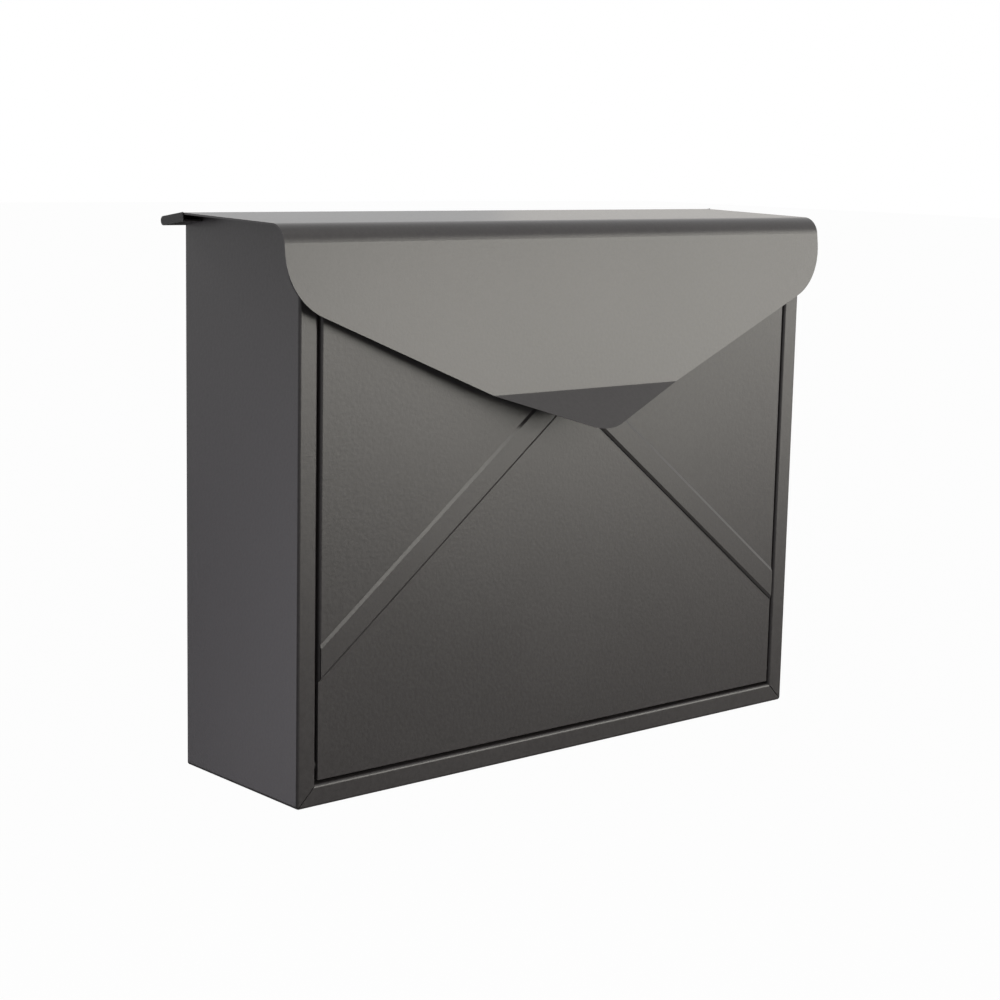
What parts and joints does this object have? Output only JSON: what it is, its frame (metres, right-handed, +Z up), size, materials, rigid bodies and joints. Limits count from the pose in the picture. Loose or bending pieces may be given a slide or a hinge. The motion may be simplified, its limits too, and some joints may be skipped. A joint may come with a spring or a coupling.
{
  "type": "wall mounted mailbox",
  "caption": "Wall mounted mailbox in folded sheet steel, shaped like an envelope: a hinged lid with a pointed flap hangs over a drop-down front door with a raised chevron and a cam lock.",
  "frame": {"origin": "Centre of the wall screws, on the plane of the wall that the bosses stand on", "axes": "+X runs across the box to the right as seen from the front, +Y into the wall, +Z up"},
  "size_m": [0.4044, 0.1438, 0.3091],
  "materials": {
    "powder_coat": "satin powder coat, fine grain",
    "steel": "zinc plated",
    "black_steel": "black oxide",
    "lock_chrome": "bright",
    "rubber": "matt",
    "black_plastic": "matt"
  },
  "bodies": {
    "box": {"body_wrap": "powder_coat", "back_panel": "powder_coat", "header_rail": "powder_coat", "header_rivets": "steel", "flap_bumpers": "rubber", "door_pivot_pins": "black_steel", "door_pivot_washers": "black_plastic"},
    "door": {"door_panel": "powder_coat", "lock_housing": "lock_chrome", "lock_washer": "steel", "lock_nut": "steel"},
    "lock_core": {"lock_plug": "lock_chrome", "lock_cam": "steel", "cam_screw": "steel"},
    "lid_assembly": {"lid": "powder_coat", "hinge_rod": "steel", "hem_plugs": "black_plastic"}
  },
  "joints": [
    {"name": "lid_hinge", "type": "hinge", "parent": "box", "child": "lid_assembly", "pos_m": [0, -0.00481, 0.1537], "axis": [-1, 0, 0], "range_deg": [0, 85]},
    {"name": "door_hinge", "type": "hinge", "parent": "box", "child": "door", "pos_m": [0, -0.1077, -0.128], "axis": [1, 0, 0], "range_deg": [0, 130]},
    {"name": "lock_turn", "type": "hinge", "parent": "door", "child": "lock_core", "pos_m": [0, -0.105, 0.096], "axis": [0, -1, 0], "range_deg": [0, 90]}
  ]
}
